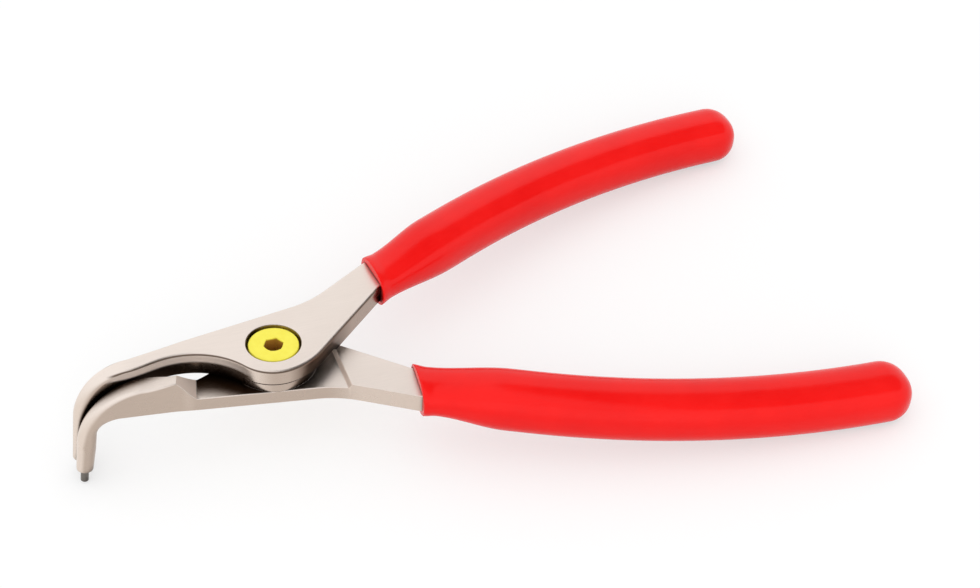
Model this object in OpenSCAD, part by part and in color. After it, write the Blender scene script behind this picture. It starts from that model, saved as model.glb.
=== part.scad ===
// Circlip pliers for outside rings, with noses bent down, a lap joint and sleeve grips.
// Millimetres. The origin is on the pivot axis, in the plane where the levers lap.
// +X runs towards the grips, +Y towards the upper lever's grip, +Z up out of the screw head.

/* [Joint] */
// Radius of the round boss of each lever
boss_r = 9.6; // [8.6:0.1:11]
// Thickness of each lever, from the lap plane to its outer face
lever_t = 4.6; // [4.2:0.1:5.5]
// Depth of the relief that each lever has round the pivot
lap_step = 1.1; // [0.9:0.05:1.3]
// Distance from the pivot to the shoulder where the relief ends at the handle
shoulder_x = 13.2; // [12.2:0.1:14.5]
// Length of the slope at that shoulder
shoulder_l = 0.7; // [0.4:0.1:2]
// Gap between faces that slide on each other
slide_gap = 0.05; // [0.03:0.01:0.1]
// How far the round pad between the levers stays inside the boss
pad_inset = 0.1; // [0.05:0.05:0.8]
// Radius of the fillet at the pad's foot
pad_fillet = 0.3; // [0.2:0.05:0.9]
// Gap between that fillet and the upper jaw
relief_gap = 0.1; // [0.05:0.05:0.4]

/* [Pivot screw] */
// Radius of the screw's head
head_r = 5.6; // [5.2:0.1:6.2]
// Height of the screw's head
head_h = 1.35; // [1:0.05:1.6]
// How far the head lies below the lever's face
head_sink = 0.35; // [0.2:0.05:0.7]
// Gap round the head in its recess
head_gap = 0.5; // [0.2:0.05:0.7]
// Radius of the shoulder that the upper lever turns on
shank_r = 3.6; // [3.4:0.05:3.9]
// Radial clearance of the upper lever on that shoulder
bore_gap = 0.03; // [0.02:0.005:0.06]
// Radius of the threaded end in the lower lever
thread_r = 3; // [2.7:0.1:3.2]
// Width across the flats of the hex socket
socket_af = 4; // [3:0.5:4]
// Size of the bevel at the mouth of the socket
socket_bevel = 0.2; // [0.1:0.05:0.6]
// How far the threaded end stays inside the lower lever's outer face
end_sink = 0.4; // [0.2:0.05:0.8]
// Clearance of pieces that are fixed in each other
fixed_gap = 0.02; // [0.01:0.005:0.04]

/* [Return spring] */
// Thickness of the spring wire
wire_d = 0.8; // [0.6:0.05:0.9]
// Radius of the coil at the middle of the wire
coil_r = 5.9; // [5.7:0.05:6.2]
// Turns of the coil
coil_turns = 2.5; // [2.25:0.25:2.75]
// Rise of the coil in one turn
coil_pitch = 0.9; // [0.85:0.05:1]
// Length of the straight legs that stand in the levers
leg_l = 1; // [0.8:0.05:1.1]
// Gap round the coil in its pocket
coil_gap = 0.7; // [0.5:0.05:0.8]
// Gap round the spring's legs in their holes
leg_gap = 0.15; // [0.1:0.05:0.25]

/* [Jaws] */
// Angle between the outer edge of the jaw and the middle line
jaw_taper = 9.1; // [7.5:0.1:10]
// How far the upper jaw's edge of the eye lies from the middle line
upper_eye_y = 2; // [1.5:0.1:2.4]
// How far the lower jaw's edge of the eye lies from the middle line
lower_eye_y = 1.6; // [1.2:0.1:2]
// Radius of the hollow between the boss and the upper jaw
upper_eye_r = 17; // [13:0.5:20]
// Radius of the hollow between the boss and the lower jaw
lower_eye_r = 24; // [20:0.5:25]
// Distance from the pivot to the foot of the nose
nose_x = 18.8; // [18.4:0.1:20.5]
// Length of the slope from the relief up to the nose
ramp_l = 4.6; // [3:0.1:6]
// How far the lower nose rises above the lap plane, at the top of that slope
lower_rise = 2.4; // [1.6:0.1:3]
// How far it falls again from there to its bend
lower_fall = 0.3; // [0.1:0.05:1]
// How far the lower nose's front is bevelled in at the top of the slope
lower_bevel = 1.2; // [0.4:0.1:1.6]
// Length over which that bevel runs out towards the bend
bevel_l = 5.3; // [3:0.1:6]
// Distance from the pivot to where the upper nose reaches the middle line
upper_nip_x = 34.5; // [33:0.5:37]
// Distance from the pivot to where the lower nose reaches the middle line
lower_nip_x = 31; // [29:0.5:34]
// Half the gap between the closed noses
nip_gap = 0.1; // [0.05:0.01:0.2]

/* [Bent noses] */
// Angle through which the noses are bent
bend_angle = 85; // [78:1:90]
// Radius of the upper nose's bend on its outer side
upper_bend_r = 13; // [11.5:0.5:14.5]
// Radius of the lower nose's bend on its outer side
lower_bend_r = 15; // [13.5:0.5:16]
// Radius of the upper nose's bend on its inner side
upper_inner_r = 6; // [4.5:0.5:7.5]
// Radius of the lower nose's bend on its inner side
lower_inner_r = 4.8; // [4:0.2:6]
// Distance from the pivot to the outer side of the legs, below the bend
leg_x = 44.75; // [43:0.05:47]
// Depth below the lap plane at which that distance is taken
leg_ref_z = 10; // [9:0.5:11]
// Thickness of a leg below the bend
leg_top_d = 4.2; // [3.8:0.1:4.6]
// Thickness of a leg at its end
leg_end_d = 3.7; // [3.2:0.1:4]
// Depth of the legs' ends below the lap plane
leg_end_z = 18.9; // [18:0.1:24]

/* [Tips] */
// Diameter of the tip pins
tip_d = 1.8; // [1.3:0.1:2]
// Length of the pins that stands out of the legs
tip_out = 3.6; // [2.4:0.1:4]
// How much thicker the pins' shanks are, all round
tip_step = 0.4; // [0.35:0.05:0.5]
// How far those shanks stand out of the legs
tip_collar = 0.1; // [0.05:0.05:0.3]
// Length of the pins inside the legs
tip_in = 7; // [5:0.5:9]
// Chamfer at the pins' free ends
tip_chamfer = 0.2; // [0.1:0.05:0.3]

/* [Handles] */
// Angle of the straight part of the handle
handle_angle = 26; // [23:0.5:28]
// Offset of the handle's middle line from the pivot
handle_off = 2.6; // [1.5:0.1:3.5]
// Length of the straight part, measured from the pivot
handle_straight = 58; // [50:1:66]
// Radius of the handle's bow
bow_r = 195; // [170:5:230]
// Angle through which the handle bows
bow_angle = 24; // [21:0.5:25]
// Width of the tang inside the grip
tang_w = 9; // [8:0.1:9.6]
// Angle of the tang's outer edge
tang_out_angle = 31.5; // [29:0.5:34]
// Distance of that edge from the pivot
tang_out_off = 3.85; // [3.2:0.05:4.4]
// Angle of the tang's inner edge
tang_in_angle = 42.5; // [40:0.5:45]
// Distance of that edge from the pivot
tang_in_off = 10.4; // [10:0.1:10.8]
// Radius of the hollow between the jaw's outer edge and the tang
back_r = 24; // [16:1:30]
// Distance that the tang stays short of the grip's end
tang_short = 32; // [20:1:50]

/* [Grips] */
// Width of a grip
grip_w = 13.9; // [13:0.1:15]
// Thickness of a grip
grip_t = 12; // [11:0.1:13]
// Distance from the pivot to the grip's mouth
mouth_x = 27.9; // [27.6:0.1:30]
// Slant of the mouth, as its lead along the grip for each millimetre across it
mouth_slant = 0.37; // [0.2:0.01:0.48]
// How far the lip of the mouth stands out
lip_out = 0.3; // [0.1:0.1:0.8]
// Length of that lip
lip_l = 3; // [1:0.5:5]
// How much narrower the neck behind the mouth is
neck_in = 1.1; // [0.5:0.1:1.6]
// How much thinner that neck is, above and below
neck_thin = 1.9; // [1:0.1:2.2]
// Length over which the neck widens to the full grip
neck_l = 20; // [12:1:26]
// Length of the rounded end
dome_l = 6; // [4:0.5:6.5]
// Length of the grip past the bow
grip_end_l = 3; // [2:0.5:8]
// Clearance of the sleeve on the tang
sleeve_gap = 0.05; // [0.02:0.01:0.15]

/* [Hidden] */
$fn = 64;

steel = [0.82, 0.79, 0.76];
tip_steel = [0.45, 0.43, 0.42];
red_pvc = [0.93, 0.12, 0.12];
yellow = [0.93, 0.87, 0.13];
spring_steel = [0.35, 0.34, 0.36];

over = 1;
merge_in = 0.02;
least_r = 0.06;
full_round = 0.97;
arc_n = 12;
fillet_n = 6;

pad_r = boss_r - pad_inset;
pad_top = lap_step - slide_gap;
relief_r = pad_r + pad_fillet + relief_gap;
head_top = lever_t - head_sink;
seat_z = head_top - head_h;
pocket_depth = coil_turns * coil_pitch + wire_d + 2 * slide_gap;
pocket_floor = pad_top - pocket_depth;
coil_z = pocket_floor + slide_gap + wire_d / 2;
pocket_in = coil_r - wire_d / 2 - coil_gap;
pocket_out = coil_r + wire_d / 2 + coil_gap;
coil_start = 90;
coil_end = coil_start + 360 * coil_turns;

lean = 90 - bend_angle;
tip_y = nip_gap + leg_end_d / 2;

function dir(a) = [cos(a), sin(a)];
function left(a) = [-sin(a), cos(a)];
function ease(t) = t * t * (3 - 2 * t);
function mix(a, b, t) = a + (b - a) * t;
function clamp01(t) = max(0, min(1, t));
function arc(c, r, a0, a1, n) = [for (i = [0:n]) c + r * dir(a0 + (a1 - a0) * i / n)];
function reversed(p) = [for (i = [len(p) - 1:-1:0]) p[i]];
function tail(p) = [for (i = [1:len(p) - 1]) p[i]];
// Where the line at distance d0 and angle a0 from the pivot crosses another such line
function cross_lines(a0, d0, a1, d1) =
    let (s = (d1 - d0 * cos(a1 - a0)) / -sin(a1 - a0)) s * dir(a0) + d0 * left(a0);

// Outline of a lever, seen from above, with Y towards its own grip
back_corner = cross_lines(jaw_taper, boss_r, tang_out_angle, tang_out_off);
back_half = (tang_out_angle - jaw_taper) / 2;
back_c = back_corner + back_r / cos(back_half) * left((tang_out_angle + jaw_taper) / 2);
swell_from = -80;
swell_cos = cos(tang_in_angle - 90 - swell_from);
swell_r = (tang_in_off - swell_cos * boss_r) / (1 - swell_cos);
swell_c = -(swell_r - boss_r) * dir(swell_from);
// Each jaw's edge of the eye: distance from the middle line, radius of its hollow, and place of the nip
upper_eye = [upper_eye_y, upper_eye_r, upper_nip_x];
lower_eye = [lower_eye_y, lower_eye_r, lower_nip_x];
function eye_c(eye) = let (y = eye[0] - eye[1]) [-sqrt(pow(boss_r + eye[1], 2) - y * y), y];

// Outer and inner edge of the jaw at x: the eye rises from the boss and then closes to the nip
function jaw_y(x) = boss_r / cos(jaw_taper) + x * tan(jaw_taper);
function eye_y(x, eye) =
    let (c = eye_c(eye)) x > c[0] ? c[1] + sqrt(pow(eye[1], 2) - pow(x - c[0], 2))
    : mix(eye[0], nip_gap, ease(clamp01((c[0] - x) / (c[0] + eye[2]))));

// Middle line of the handle: a point and its direction at length s from the pivot
bow_l = bow_r * bow_angle * PI / 180;
handle_l = handle_straight + bow_l + grip_end_l;
bow_start = handle_straight * dir(handle_angle) + handle_off * left(handle_angle);
bow_c = bow_start - bow_r * left(handle_angle);
end_angle = handle_angle - bow_angle;
function handle_dir(s) = handle_angle - bow_angle * clamp01((s - handle_straight) / bow_l);
function handle_at(s) =
    s <= handle_straight ? bow_start + (s - handle_straight) * dir(handle_angle)
    : s <= handle_straight + bow_l ? bow_c + bow_r * left(handle_dir(s))
    : bow_c + bow_r * left(end_angle) + (s - handle_straight - bow_l) * dir(end_angle);

// Points along one side of the tang, at offset v from the middle line
tang_end = handle_l - tang_short;
tang_n = 14;
function tang_side(v) = [for (i = [0:tang_n])
    let (s = mix(handle_straight, tang_end, i / tang_n)) handle_at(s) + v * left(handle_dir(s))];

tang_out_foot = cross_lines(handle_angle, handle_off + tang_w / 2, tang_out_angle, tang_out_off);
tang_in_foot = cross_lines(handle_angle, handle_off - tang_w / 2, tang_in_angle, -tang_in_off);

// Outline of a lever with the given edge of the eye
function lever_outline(eye) = let (c = eye_c(eye), a = atan2(-c[1], -c[0]), from = -boss_r * cos(a)) concat(
    [[-nose_x, jaw_y(-nose_x)]],
    arc(back_c, back_r, jaw_taper - 90, tang_out_angle - 90, arc_n),
    [tang_out_foot],
    tang_side(tang_w / 2),
    reversed(tang_side(-tang_w / 2)),
    [tang_in_foot],
    arc(swell_c, swell_r, tang_in_angle - 90, swell_from, fillet_n),
    tail(arc([0, 0], boss_r, swell_from, a - 180, arc_n)),
    [for (i = [1:arc_n]) let (x = mix(from, -nose_x, i / arc_n)) [x, eye_y(x, eye)]]);

// A lever up to the foot of the nose, with the relief round the pivot
module lever_plate(eye) {
    difference() {
        translate([0, 0, slide_gap]) linear_extrude(lever_t - slide_gap) polygon(lever_outline(eye));
        rotate([90, 0, 0]) linear_extrude(2 * nose_x, center = true)
            polygon([[-nose_x - over, -over], [shoulder_x + shoulder_l, -over], [shoulder_x + shoulder_l, 0],
                     [shoulder_x, lap_step], [-nose_x - over, lap_step]]);
    }
}

// The upper jaw reaches down past the lap plane, outside the lower lever's pad
module jaw_drop() {
    difference() {
        translate([0, 0, -pad_top]) linear_extrude(pad_top + lap_step + merge_in) intersection() {
            polygon(lever_outline(upper_eye));
            translate([-2 * nose_x, -nose_x]) square(2 * nose_x);
        }
        translate([0, 0, -lever_t]) cylinder(r = relief_r, h = 2 * lever_t);
    }
}

// Round pad of the lower lever, which carries the upper one, kept inside the lever's outline
module pad() {
    intersection() {
        rotate_extrude() polygon(concat(
            [[0, pad_top], [0, -lap_step - over], [pad_r + pad_fillet, -lap_step - over]],
            arc([pad_r + pad_fillet, pad_fillet - lap_step], pad_fillet, 270, 180, fillet_n),
            [[pad_r, pad_top]]));
        rotate([180, 0, 0]) translate([0, 0, -lever_t]) linear_extrude(2 * lever_t)
            polygon(lever_outline(lower_eye));
    }
}

// Side line of the legs: a point on the outer side, its direction and its inward normal, in X and Z
leg_point = [-leg_x, -leg_ref_z];
leg_dir = [-sin(lean), -cos(lean)];
leg_in = [cos(lean), -sin(lean)];
leg_len = (leg_end_z - leg_ref_z) / cos(lean);
leg_end = leg_point + leg_len * leg_dir + leg_end_d / 2 * leg_in;

// Centre of a bend of radius r that touches the level z and the legs' side line moved in by w
function bend_c(r, z, w) =
    let (p = leg_point + w * leg_in) [p[0] + (r + sin(lean) * (z - r - p[1])) / cos(lean), z - r];

// Corner radii of the noses: inner top, outer top, outer bottom, inner bottom
upper_soft = [0.4, 0.8, 1.2, 0.4];
lower_soft = [0.2, 1, 0.7, 0.4];
// Corner radii of a leg, as shares of its half thickness
leg_soft = [0.5, 0.5, 0.6, 0.3];
ramp_n = 6;
run_n = 6;
bend_n = 12;
legs_n = 4;

// Stations of a nose, each with its outer and inner point in X and Z, its sides in Y with the bevel between
// its top and its outer side, and its corner radii.
// top: outer level, which falls by fall; low: inner level; foot_top and foot_low: both levels at the foot.
function nose_stations(top, fall, low, foot_top, foot_low, out_r, in_r, eye, bevel, soft) =
    let (co = bend_c(out_r, top - fall, 0), ci = bend_c(in_r, low, leg_top_d), a1 = 90 + bend_angle,
         x0 = -nose_x - ramp_l)
    concat(
        [[[-nose_x + over, foot_top], [-nose_x + over, foot_low],
          side_y(-nose_x, eye) + [0, over * tan(jaw_taper), 0], 0 * soft]],
        [for (i = [0:ramp_n]) let (t = i / ramp_n, x = mix(-nose_x, x0, t))
            [[x, mix(foot_top, top, t * t)], [x, mix(foot_low, low, t)],
             side_y(x, eye) + [0, 0, bevel * t], soft * t]],
        [for (i = [1:run_n]) let (t = i / run_n, xo = mix(x0, co[0], t), xi = mix(x0, ci[0], t))
            [[xo, top - fall * ease(t)], [xi, low],
             side_y((xo + xi) / 2, eye) + [0, 0, bevel * clamp01(1 - (x0 - xo) / bevel_l)], soft]],
        [for (i = [1:bend_n]) let (t = i / bend_n, a = mix(90, a1, t), e = ease(t),
                                   y0 = side_y((co[0] + ci[0]) / 2, eye))
            [co + out_r * dir(a), ci + in_r * dir(a), mix(y0, [nip_gap, nip_gap + leg_top_d, 0], e),
             mix(soft, leg_soft * leg_top_d / 2, e)]],
        [for (i = [1:legs_n]) let (t = i / legs_n, d = mix(leg_top_d, leg_end_d, t),
                                   p = co + out_r * dir(a1), q = leg_point + leg_len * leg_dir,
                                   o = mix(p, q, t))
            [o, o + d * leg_in, [nip_gap, nip_gap + d, 0], leg_soft * d / 2]]);

// Sides of a nose at x, with no bevel
function side_y(x, eye) = [eye_y(x, eye) + merge_in, jaw_y(x) - merge_in, 0];

// Ring of points round a station, with rounded corners
corner_n = 4;
function station_ring(st) =
    let (o = st[0], q = st[1], h = norm(o - q), u = (o - q) / h, w = st[2][1] - st[2][0],
         lim = min(h, w) / 2 * full_round)
    [for (c = [0:3], i = [0:corner_n])
        let (r = max(least_r, min(lim, st[3][c])), a = 90 * i / corner_n + 90 * c,
             v0 = c == 0 || c == 3 ? r : w - r - (c == 1 ? st[2][2] : 0), u0 = c < 2 ? h - r : r,
             v = v0 - r * cos(a), z = u0 + r * sin(a), p = q + z * u)
        [p[0], st[2][0] + v, p[1]]];

// Closed skin through rings that all have the same number of points
module skin(rings) {
    m = len(rings[0]);
    n = len(rings);
    sides = [for (j = [0:n - 2], i = [0:m - 1], k = [0:1])
        let (a = j * m + i, b = j * m + (i + 1) % m) k == 0 ? [a, b, b + m] : [a, b + m, a + m]];
    polyhedron([for (r = rings, p = r) p],
               concat(sides, [[for (i = [m - 1:-1:0]) i]], [[for (i = [0:m - 1]) (n - 1) * m + i]]));
}

module nose(stations) {
    skin([for (st = stations) reversed(station_ring(st))]);
}

// Places its children with their Z axis along a leg, pointing out of its end
module at_leg_end() {
    translate([leg_end[0], tip_y, leg_end[1]]) rotate([0, 180 + lean, 0]) children();
}

module tip_bore() {
    at_leg_end() translate([0, 0, -tip_in - fixed_gap])
        cylinder(r = tip_d / 2 + tip_step + fixed_gap, h = tip_in + fixed_gap + over);
}

module tip_pin() {
    at_leg_end() rotate_extrude()
        polygon([[0, -tip_in], [tip_d / 2 + tip_step, -tip_in], [tip_d / 2 + tip_step, tip_collar],
                 [tip_d / 2, tip_collar], [tip_d / 2, tip_out - tip_chamfer],
                 [tip_d / 2 - tip_chamfer, tip_out], [0, tip_out]]);
}

module spring_hole(a, z0, z1) {
    translate([coil_r * cos(a), coil_r * sin(a), z0]) cylinder(r = wire_d / 2 + leg_gap, h = z1 - z0);
}

module upper_lever() color(steel) difference() {
    union() {
        lever_plate(upper_eye);
        jaw_drop();
        nose(nose_stations(lever_t - merge_in, 0, merge_in - pad_top, lever_t - merge_in, merge_in - pad_top,
                           upper_bend_r, upper_inner_r, upper_eye, 0, upper_soft));
    }
    translate([0, 0, seat_z]) cylinder(r = head_r + head_gap, h = lever_t);
    cylinder(r = shank_r + bore_gap, h = lever_t);
    spring_hole(coil_end, -over, pad_top + leg_l + leg_gap);
    tip_bore();
}

module lower_lever() color(steel) difference() {
    union() {
        rotate([180, 0, 0]) lever_plate(lower_eye);
        pad();
        mirror([0, 1, 0])
            nose(nose_stations(lower_rise, lower_fall, merge_in - lever_t, -lap_step - merge_in,
                               merge_in - lever_t, lower_bend_r, lower_inner_r, lower_eye, lower_bevel,
                               lower_soft));
    }
    translate([0, 0, -lever_t - over]) cylinder(r = thread_r + fixed_gap, h = 2 * lever_t);
    translate([0, 0, pocket_floor]) difference() {
        cylinder(r = pocket_out, h = lever_t);
        translate([0, 0, -over]) cylinder(r = pocket_in, h = lever_t + 2 * over);
    }
    spring_hole(coil_start, pocket_floor - leg_l - leg_gap, pocket_floor + over);
    mirror([0, 1, 0]) tip_bore();
}

module upper_tip() color(tip_steel) tip_pin();
module lower_tip() color(tip_steel) mirror([0, 1, 0]) tip_pin();

module pivot_screw() color(yellow) difference() {
    rotate_extrude()
        polygon([[0, end_sink - lever_t], [thread_r, end_sink - lever_t], [thread_r, pad_top + fixed_gap],
                 [shank_r, pad_top + fixed_gap], [shank_r, seat_z + fixed_gap], [head_r, seat_z + fixed_gap],
                 [head_r, head_top], [0, head_top]]);
    cylinder(d = socket_af / cos(30), h = lever_t, $fn = 6);
    translate([0, 0, head_top - socket_bevel])
        cylinder(r1 = socket_af / 2, r2 = socket_af / 2 + socket_bevel + over, h = socket_bevel + over);
}

// Wire of the torsion spring: a leg down, the coil, and a leg up
wire_sides = 8;
coil_steps = 20;
function wire_ring(p, t) =
    let (side = [p[0], p[1], 0] / norm([p[0], p[1]]), up = cross(t, side))
    [for (i = [0:wire_sides - 1]) let (a = 360 * i / wire_sides)
        p + wire_d / 2 * (cos(a) * side + sin(a) * up)];
function coil_point(a) = [coil_r * cos(a), coil_r * sin(a), coil_z + coil_pitch * (a - coil_start) / 360];
function coil_tangent(a) = [-sin(a), cos(a), 0];

module return_spring() color(spring_steel) {
    steps = coil_turns * coil_steps;
    skin(concat(
        [wire_ring(coil_point(coil_start) - [0, 0, leg_l + wire_d / 2], [0, 0, 1])],
        [wire_ring(coil_point(coil_start) - [0, 0, wire_d / 2], [0, 0, 1])],
        [for (i = [1:steps - 1]) let (a = coil_start + 360 * i / coil_steps)
            wire_ring(coil_point(a), coil_tangent(a))],
        [wire_ring(coil_point(coil_end) + [0, 0, wire_d / 2], [0, 0, 1])],
        [wire_ring(coil_point(coil_end) + [0, 0, leg_l + wire_d / 2], [0, 0, 1])]));
}

// Grip section: a rounded oval of half width a and half thickness b
grip_sides = 24;
// Squareness of that oval, where 2 is an ellipse
grip_square = 2.4;
function power(x, k) = sign(x) * pow(abs(x), 2 / k);
function grip_ring(s, a, b, slant) = [for (i = [0:grip_sides - 1])
    let (t = 360 * i / grip_sides, v = a * power(cos(t), grip_square), z = b * power(sin(t), grip_square),
         q = s + v * slant, p = handle_at(q) + v * left(handle_dir(q)))
    [p[0], p[1], lever_t / 2 + z]];

// Length along the middle line at which the mouth lies
mouth_s = (mouth_x + handle_off * sin(handle_angle)) / cos(handle_angle);
neck_n = 6;
body_n = 12;
dome_n = 5;
// Last angle of the rounded end, and how far its width follows the cosine
dome_turn = 85;
dome_share = 0.85;

module grip_body() {
    a = grip_w / 2;
    b = grip_t / 2;
    dome_s = handle_l - dome_l;
    skin(concat(
        [grip_ring(mouth_s, a - neck_in + lip_out, b - neck_thin + lip_out, mouth_slant)],
        [for (i = [0:neck_n]) let (t = i / neck_n, e = ease(t))
            grip_ring(mouth_s + mix(lip_l, neck_l, t), a - neck_in * (1 - e), b - neck_thin * (1 - e),
                      mouth_slant * (1 - t))],
        [for (i = [1:body_n]) grip_ring(mix(mouth_s + neck_l, dome_s, i / body_n), a, b, 0)],
        [for (i = [1:dome_n]) let (t = dome_turn * i / dome_n, k = mix(1, cos(t), dome_share))
            grip_ring(dome_s + dome_l * sin(t), a * k, b * k, 0)]));
}

module sleeve() {
    difference() {
        grip_body();
        translate([0, 0, -sleeve_gap]) linear_extrude(lever_t + 2 * sleeve_gap)
            polygon(concat([handle_at(0) + (tang_w / 2 + sleeve_gap) * left(handle_angle)],
                           tang_cut(tang_w / 2 + sleeve_gap), reversed(tang_cut(-tang_w / 2 - sleeve_gap)),
                           [handle_at(0) - (tang_w / 2 + sleeve_gap) * left(handle_angle)]));
    }
}
// Side of the hole for the tang, a clearance longer than the tang
function tang_cut(v) = [for (i = [0:tang_n])
    let (s = mix(handle_straight, tang_end + sleeve_gap, i / tang_n)) handle_at(s) + v * left(handle_dir(s))];

module upper_grip() color(red_pvc) sleeve();
module lower_grip() color(red_pvc) rotate([180, 0, 0]) sleeve();

upper_lever();
lower_lever();
upper_tip();
lower_tip();
upper_grip();
lower_grip();
pivot_screw();
return_spring();
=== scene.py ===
"""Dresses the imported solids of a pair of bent-nose circlip pliers and lights them for a picture."""
import logging
import math
from dataclasses import dataclass, field
from enum import Enum
from functools import cached_property
from typing import Sequence

import bmesh
import bpy
from mathutils import Matrix, Vector


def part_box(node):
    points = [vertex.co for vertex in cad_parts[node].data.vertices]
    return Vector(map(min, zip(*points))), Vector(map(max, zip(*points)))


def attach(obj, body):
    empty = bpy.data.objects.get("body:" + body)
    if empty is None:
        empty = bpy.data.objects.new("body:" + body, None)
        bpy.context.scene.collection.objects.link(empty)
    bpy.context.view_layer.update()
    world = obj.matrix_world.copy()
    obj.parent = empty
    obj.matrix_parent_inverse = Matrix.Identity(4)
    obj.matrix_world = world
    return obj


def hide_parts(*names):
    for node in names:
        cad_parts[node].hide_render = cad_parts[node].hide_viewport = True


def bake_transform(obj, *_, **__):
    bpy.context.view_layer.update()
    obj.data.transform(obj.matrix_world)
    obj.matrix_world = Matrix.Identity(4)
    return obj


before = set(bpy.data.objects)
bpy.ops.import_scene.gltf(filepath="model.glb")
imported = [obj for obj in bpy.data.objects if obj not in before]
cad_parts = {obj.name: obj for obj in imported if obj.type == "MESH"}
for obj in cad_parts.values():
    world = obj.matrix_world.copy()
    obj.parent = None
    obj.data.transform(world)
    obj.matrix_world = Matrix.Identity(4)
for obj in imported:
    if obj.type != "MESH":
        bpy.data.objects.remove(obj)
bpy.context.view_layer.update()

log = logging.getLogger("pliers")

# Sizes in this file are in millimetres and angles in degrees; meshes are made in metres.
MM = 0.001
# How far a cutting tool runs past the face that it cuts.
OVER = 1.0
# Turns of the points along a rounded edge.
QUARTER = (0, 22, 45, 68, 90)
# Distance under which two points become one, and length under which an edge is dropped.
WELD, SLIVER = 0.002, 0.001

Ring = list[Vector]
Span = tuple[float, float]
Colour = tuple[float, float, float]
Corners = tuple[float, float, float, float]
Solid = bpy.types.Object
Socket = bpy.types.NodeSocket
Finish = bpy.types.Material
Axes = dict[str, Socket]
Feed = Socket | float | Vector | Colour

# Whole range of a mask, and the same the other way round.
UP: Span = (0.0, 1.0)
DOWN: Span = (1.0, 0.0)
# Where nearly all values of a noise lie, and those of two noises added up.
NOISE: Span = (0.3, 0.7)
TWO_NOISES: Span = (0.6, 1.4)


class Side(Enum):
    """The lever that lies on top at the joint, or the one below it."""

    UPPER = "upper"
    LOWER = "lower"

    @property
    def sign(self) -> int:
        """+1 where the lever's grip lies at positive Y, otherwise -1."""
        return 1 if self is Side.UPPER else -1

    @property
    def body(self) -> str:
        """Name of the moving body that the lever belongs to."""
        return f"{self.value}_handle"


class Cut(Enum):
    """What a tool solid does to the piece that it is applied to."""

    ADD = "UNION"
    REMOVE = "DIFFERENCE"
    KEEP = "INTERSECT"


Tool = tuple[Solid, Cut]


def sin(angle: float) -> float:
    """Sine of an angle in degrees."""
    return math.sin(math.radians(angle))


def cos(angle: float) -> float:
    """Cosine of an angle in degrees."""
    return math.cos(math.radians(angle))


def tan(angle: float) -> float:
    """Tangent of an angle in degrees."""
    return math.tan(math.radians(angle))


def ahead(angle: float) -> Vector:
    """Unit vector in plan that points along an angle."""
    return Vector((cos(angle), sin(angle)))


def left(angle: float) -> Vector:
    """Unit vector in plan that points to the left of an angle."""
    return Vector((-sin(angle), cos(angle)))


def ease(t: float) -> float:
    """Smooth step from 0 to 1."""
    t = max(0.0, min(1.0, t))
    return t * t * (3 - 2 * t)


def mix(a: float, b: float, t: float) -> float:
    """Value between a and b at share t."""
    return a + (b - a) * t


def shares(count: int) -> list[float]:
    """Shares of a run after each of a number of equal steps."""
    return [i / count for i in range(1, count + 1)]


def mixed(a: Corners, b: Corners, t: float) -> Corners:
    """Corner radii between those of a and b at share t."""
    return tuple(mix(first, second, t) for first, second in zip(a, b))


def spaced(start: float, stop: float, step: float) -> list[float]:
    """Evenly spaced values from start up to stop, which is left out, at most a step apart."""
    count = max(1, math.ceil(abs(stop - start) / step))
    return [mix(start, stop, i / count) for i in range(count)]


def line_y(angle: float, distance: float, x: float) -> float:
    """Y at x of the line that passes the pivot at a distance, at an angle to X."""
    return x * tan(angle) + distance / cos(angle)


def rounded(radius: float, top: float, edge: float, way: int) -> list[Span]:
    """Profile of a rounded edge up to a top, outwards where way is 1 and inwards where it is -1."""
    return [(radius + way * edge * (1 - cos(a)), top - edge * (1 - sin(a))) for a in QUARTER]


def add(name: str, data: bpy.types.ID) -> Solid:
    """Makes an object and links it to the scene.

    Args:
        name: Name of the new object.
        data: Its mesh, camera or lamp.

    Returns:
        The object.
    """
    made = bpy.data.objects.new(name, data)
    bpy.context.scene.collection.objects.link(made)
    return made


def paint(piece: Solid, finish: Finish) -> None:
    """Gives a piece one finish all over."""
    piece.data.materials.clear()
    piece.data.materials.append(finish)


def skin(name: str, rings: Sequence[Ring]) -> Solid:
    """Makes a closed mesh through rings that all have the same number of points.

    Args:
        name: Name of the new object.
        rings: The rings in order, in millimetres.

    Returns:
        The object, linked to the scene.
    """
    shell = bmesh.new()
    layers = [[shell.verts.new(point * MM) for point in ring] for ring in rings]
    count = len(rings[0])
    for low, high in zip(layers, layers[1:]):
        for i in range(count):
            j = (i + 1) % count
            shell.faces.new((low[i], low[j], high[j], high[i]))
    shell.faces.new(layers[0][::-1])
    shell.faces.new(layers[-1])
    bmesh.ops.recalc_face_normals(shell, faces=shell.faces)
    mesh = bpy.data.meshes.new(name)
    shell.to_mesh(mesh)
    shell.free()
    return add(name, mesh)


def lathe(name: str, profile: Sequence[Span], sides: int, place: Matrix = Matrix()) -> Solid:
    """Turns a closed profile of radii and heights about the Z axis and moves it by a matrix."""
    turns = [360 * i / sides for i in range(sides)]
    return skin(name, [[place @ Vector((r * cos(a), r * sin(a), z)) for a in turns] for r, z in profile])


def rod(name: str, radius: float, ends: Span, sides: int, place: Matrix = Matrix()) -> Solid:
    """Makes a plain cylinder between two heights, moved by a matrix."""
    return lathe(name, [(radius, z) for z in ends], sides, place)


def prism(name: str, sections: Sequence[tuple[float, Span, Span]]) -> Solid:
    """Makes a solid through upright rectangles, each given by its X, its two Y and its two Z."""
    return skin(name, [[Vector((x, y0, z0)), Vector((x, y1, z0)), Vector((x, y1, z1)), Vector((x, y0, z1))]
                       for x, (y0, y1), (z0, z1) in sections])


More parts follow.
